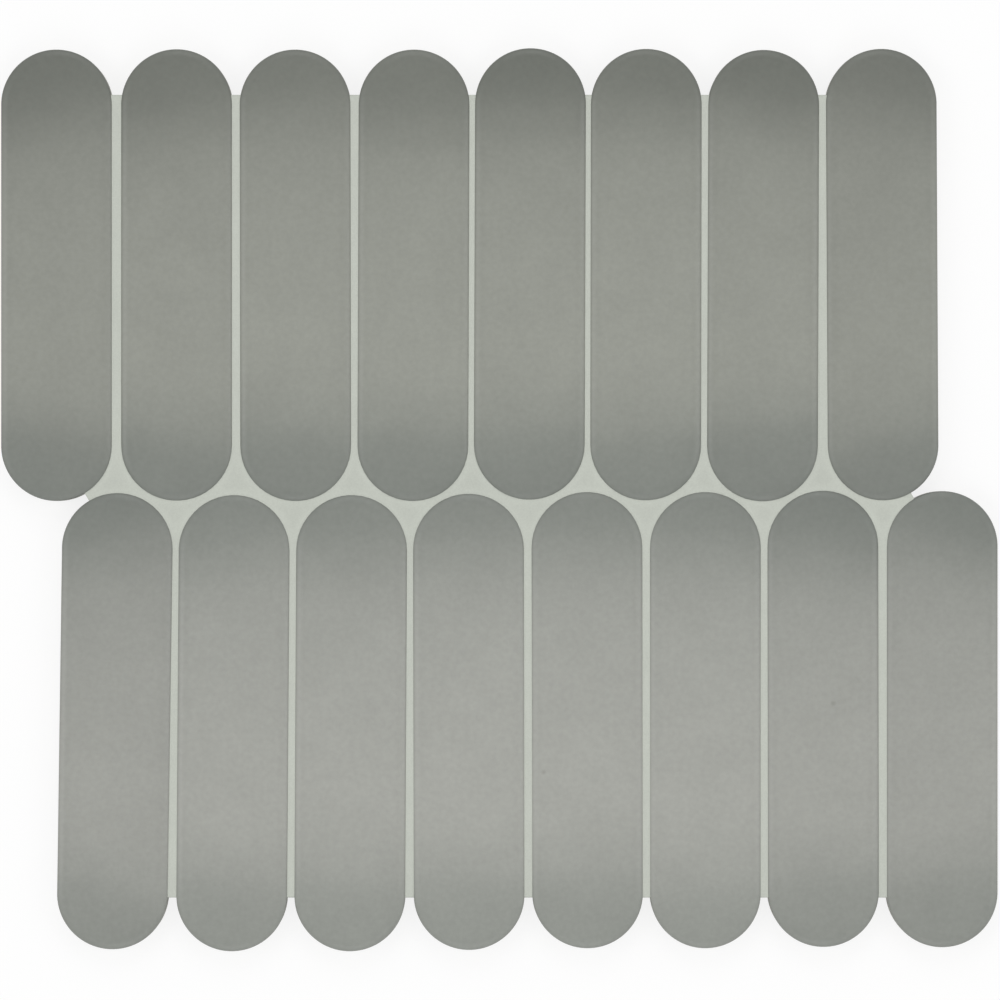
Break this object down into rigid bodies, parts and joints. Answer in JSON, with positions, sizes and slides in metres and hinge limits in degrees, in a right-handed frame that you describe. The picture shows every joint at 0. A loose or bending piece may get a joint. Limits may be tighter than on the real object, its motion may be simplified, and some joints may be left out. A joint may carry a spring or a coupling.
{
  "type": "mosaic tile sheet",
  "caption": "Flat sheet of long, round-ended glazed tiles in staggered interlocking rows, held by pale joint grout, for facing walls and floors.",
  "frame": {"origin": "on the floor under the middle of the sheet's outline, in the plane of the tiles' backs", "axes": "+X along the rows to the right, +Y up the sheet from the lower row to the upper row, +Z out of the glazed face"},
  "size_m": [0.2954, 0.2676, 0.008],
  "materials": {
    "tile_glaze": "satin",
    "grout": "matte"
  },
  "bodies": {
    "root": {"upper_tile_1": "tile_glaze", "upper_tile_2": "tile_glaze", "upper_tile_3": "tile_glaze", "upper_tile_4": "tile_glaze", "upper_tile_5": "tile_glaze", "upper_tile_6": "tile_glaze", "upper_tile_7": "tile_glaze", "upper_tile_8": "tile_glaze", "lower_tile_1": "tile_glaze", "lower_tile_2": "tile_glaze", "lower_tile_3": "tile_glaze", "lower_tile_4": "tile_glaze", "lower_tile_5": "tile_glaze", "lower_tile_6": "tile_glaze", "lower_tile_7": "tile_glaze", "lower_tile_8": "tile_glaze", "joint_grout": "grout"}
  },
  "joints": []
}
